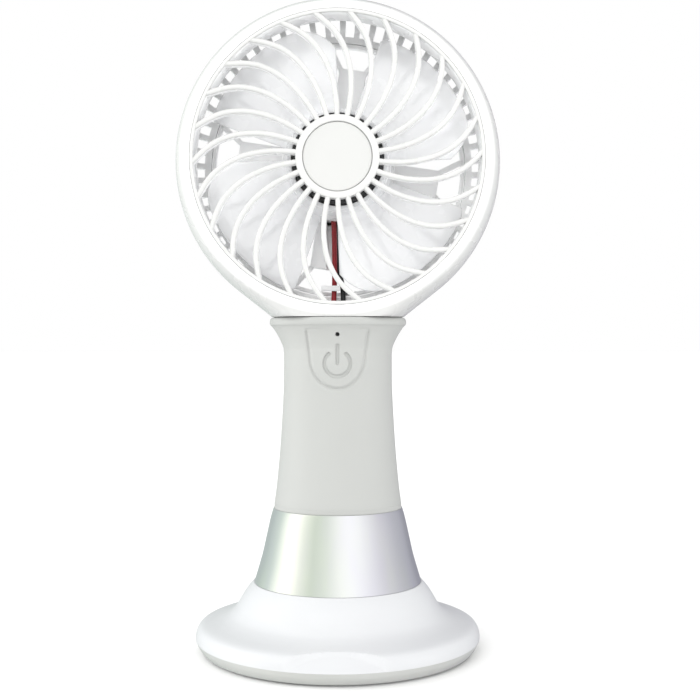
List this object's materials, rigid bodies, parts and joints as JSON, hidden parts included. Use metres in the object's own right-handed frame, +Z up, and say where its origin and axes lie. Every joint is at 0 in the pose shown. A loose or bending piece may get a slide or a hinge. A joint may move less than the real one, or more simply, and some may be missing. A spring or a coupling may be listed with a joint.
{
  "type": "handheld electric fan",
  "caption": "Handheld rechargeable fan with a round caged head, swirled front grille and flared handle, standing in a weighted desk stand with a bright trim ring.",
  "frame": {"origin": "centre of the stand's footprint, at the underside of its rubber feet", "axes": "+Z up the handle to the head, -Y the way the air blows (the grille and button side), +X to the right of someone facing the grille"},
  "size_m": [0.104, 0.091, 0.2082],
  "materials": {
    "gloss_white": "smooth gloss moulding",
    "satin_white": "fine satin moulding",
    "bright_trim": "bright plated finish",
    "clear_blade": "translucent bluish white",
    "bright_steel": "plain steel",
    "dark_steel": "dark coated steel",
    "black_rubber": "soft matte",
    "circuit_board": "green solder mask",
    "black_plastic": "moulded black",
    "cell_wrap": "shrink sleeve",
    "lamp_lens": "clear resin",
    "bronze": "sintered bronze",
    "copper_wire": "enamelled copper windings",
    "red_insulation": "wire insulation",
    "black_insulation": "wire insulation"
  },
  "bodies": {
    "stand": {"stand_shell": "gloss_white", "trim_ring": "bright_trim", "stand_socket": "satin_white", "counterweight": "bright_steel", "stand_base_plate": "satin_white", "stand_foot_1": "black_rubber", "stand_foot_2": "black_rubber", "stand_foot_3": "black_rubber", "stand_foot_4": "black_rubber", "stand_screw_1": "bright_steel", "stand_screw_2": "bright_steel", "stand_screw_3": "bright_steel", "stand_screw_4": "bright_steel"},
    "fan_body": {"handle_front_shell": "satin_white", "handle_rear_shell": "satin_white", "handle_end_cap": "satin_white", "battery_cell": "cell_wrap", "battery_cradle": "satin_white", "battery_tab_lower": "bright_steel", "battery_tab_upper": "bright_steel", "main_board": "circuit_board", "control_chip": "black_plastic", "tact_switch": "black_plastic", "status_led": "lamp_lens", "charge_board": "circuit_board", "charge_socket": "bright_steel", "neck_joiner": "satin_white", "handle_screw_1": "bright_steel", "handle_screw_2": "bright_steel", "head_front_shell": "gloss_white", "head_rear_shell": "gloss_white", "front_grille": "gloss_white", "hub_badge": "satin_white", "rear_guard": "gloss_white", "motor_bearing": "bronze", "stator_core": "bright_steel", "stator_coils": "copper_wire", "motor_lead_red": "red_insulation", "motor_lead_black": "black_insulation", "lead_clip": "gloss_white"},
    "impeller": {"impeller": "clear_blade", "rotor_yoke": "dark_steel", "magnet_ring": "black_plastic", "motor_shaft": "bright_steel", "shaft_clip": "bright_steel"},
    "button": {"power_button": "satin_white"}
  },
  "joints": [
    {"name": "lift_off", "type": "slide", "parent": "stand", "child": "fan_body", "axis": [0, 0, 1], "range_m": [0, 0.045]},
    {"name": "impeller_spin", "type": "hinge", "parent": "fan_body", "child": "impeller", "pos_m": [0, 0, 0.1562], "axis": [0, 1, 0], "continuous": true},
    {"name": "power_button", "type": "hinge", "parent": "fan_body", "child": "button", "pos_m": [0, -0.0157, 0.1027], "axis": [1, 0, 0], "range_deg": [0, 1.6], "stiffness_Nm_per_rad": 0.4}
  ]
}
